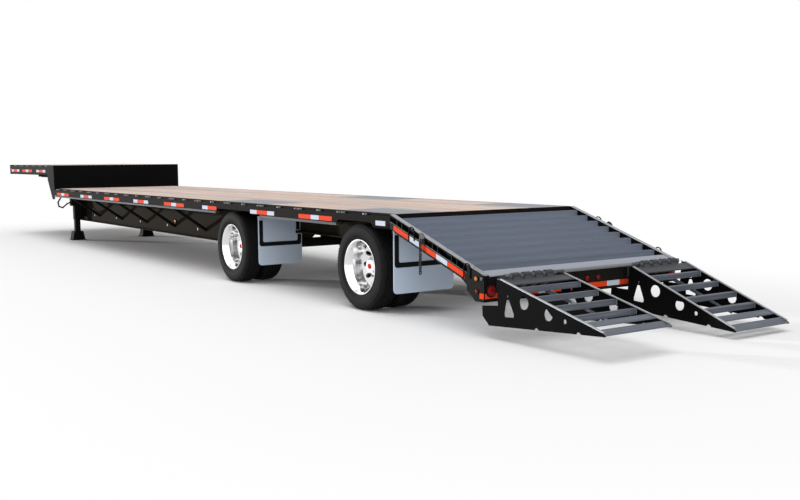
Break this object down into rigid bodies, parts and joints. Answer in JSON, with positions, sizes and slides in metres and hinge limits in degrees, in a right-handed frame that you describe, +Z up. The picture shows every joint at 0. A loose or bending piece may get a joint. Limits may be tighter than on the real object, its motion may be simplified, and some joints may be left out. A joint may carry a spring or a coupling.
{
  "type": "drop deck semi-trailer",
  "caption": "Drop deck semi-trailer with a wooden lower deck, a sloped beavertail and two flip-over loading ramps, on spread axles with dual wheels and landing legs.",
  "frame": {"origin": "on the ground below the middle of the overall box", "axes": "+X forward to the nose, +Y to the left side, +Z up"},
  "size_m": [17.5772, 2.677, 1.51],
  "materials": {
    "frame_paint": "semi-gloss black",
    "wood": "weathered, unsealed",
    "deck_steel": "grey, satin",
    "cleat_steel": "grey, satin",
    "track_grey": "grey, satin",
    "fitting_steel": "machined",
    "chain_steel": "dark, oiled",
    "red_lens": "glossy lens",
    "amber_lens": "glossy lens",
    "flap_rubber": "matt grey",
    "spring_rubber": "matt",
    "tyre": "matt",
    "rim_alloy": "polished",
    "hub_iron": "dark"
  },
  "bodies": {
    "frame": {"main_beams": "frame_paint", "neck_beams": "frame_paint", "upper_beams": "frame_paint", "crossmembers": "frame_paint", "side_struts": "frame_paint", "side_rails": "frame_paint", "upper_rails": "frame_paint", "rub_rails": "frame_paint", "stake_pockets": "track_grey", "winch_tracks": "track_grey", "deck_boards": "wood", "upper_boards": "wood", "wheel_plates": "deck_steel", "drop_panel": "frame_paint", "drop_side_plates": "frame_paint", "nose_rail": "frame_paint", "nose_couplings": "fitting_steel", "coupler_plate": "frame_paint", "kingpin": "fitting_steel", "landing_legs": "frame_paint", "landing_feet": "frame_paint", "landing_drive": "frame_paint", "tail_rails": "frame_paint", "tail_cleats": "cleat_steel", "tail_beams": "frame_paint", "tail_bumper": "frame_paint", "ramp_hinges": "cleat_steel", "ramp_chains": "chain_steel", "red_lamps": "red_lens", "amber_lamps": "amber_lens", "mud_flaps": "flap_rubber", "flap_hangers": "frame_paint", "suspension_hangers": "frame_paint", "trailing_arms": "frame_paint", "air_springs": "spring_rubber", "axles": "frame_paint", "air_tank": "frame_paint"},
    "wheel_front_left": {"tyres_front_left": "tyre", "rims_front_left": "rim_alloy", "hub_front_left": "hub_iron"},
    "wheel_front_right": {"tyres_front_right": "tyre", "rims_front_right": "rim_alloy", "hub_front_right": "hub_iron"},
    "wheel_rear_left": {"tyres_rear_left": "tyre", "rims_rear_left": "rim_alloy", "hub_rear_left": "hub_iron"},
    "wheel_rear_right": {"tyres_rear_right": "tyre", "rims_rear_right": "rim_alloy", "hub_rear_right": "hub_iron"},
    "ramp_left": {"ramp_left_plates": "frame_paint", "ramp_left_bars": "cleat_steel"},
    "ramp_right": {"ramp_right_plates": "frame_paint", "ramp_right_bars": "cleat_steel"}
  },
  "joints": [
    {"name": "wheel_front_left_spin", "type": "hinge", "parent": "frame", "child": "wheel_front_left", "pos_m": [-2.21837, 0.984, 0.464], "axis": [0, 1, 0], "continuous": true},
    {"name": "wheel_front_right_spin", "type": "hinge", "parent": "frame", "child": "wheel_front_right", "pos_m": [-2.21837, -0.984, 0.464], "axis": [0, 1, 0], "continuous": true},
    {"name": "wheel_rear_left_spin", "type": "hinge", "parent": "frame", "child": "wheel_rear_left", "pos_m": [-5.29137, 0.984, 0.464], "axis": [0, 1, 0], "continuous": true},
    {"name": "wheel_rear_right_spin", "type": "hinge", "parent": "frame", "child": "wheel_rear_right", "pos_m": [-5.29137, -0.984, 0.464], "axis": [0, 1, 0], "continuous": true},
    {"name": "ramp_left_flip", "type": "hinge", "parent": "frame", "child": "ramp_left", "pos_m": [-7.52137, 0.857, 0.571], "axis": [0, 1, 0], "range_deg": [0, 176]},
    {"name": "ramp_right_flip", "type": "hinge", "parent": "frame", "child": "ramp_right", "pos_m": [-7.52137, -0.857, 0.571], "axis": [0, 1, 0], "range_deg": [0, 183]}
  ]
}
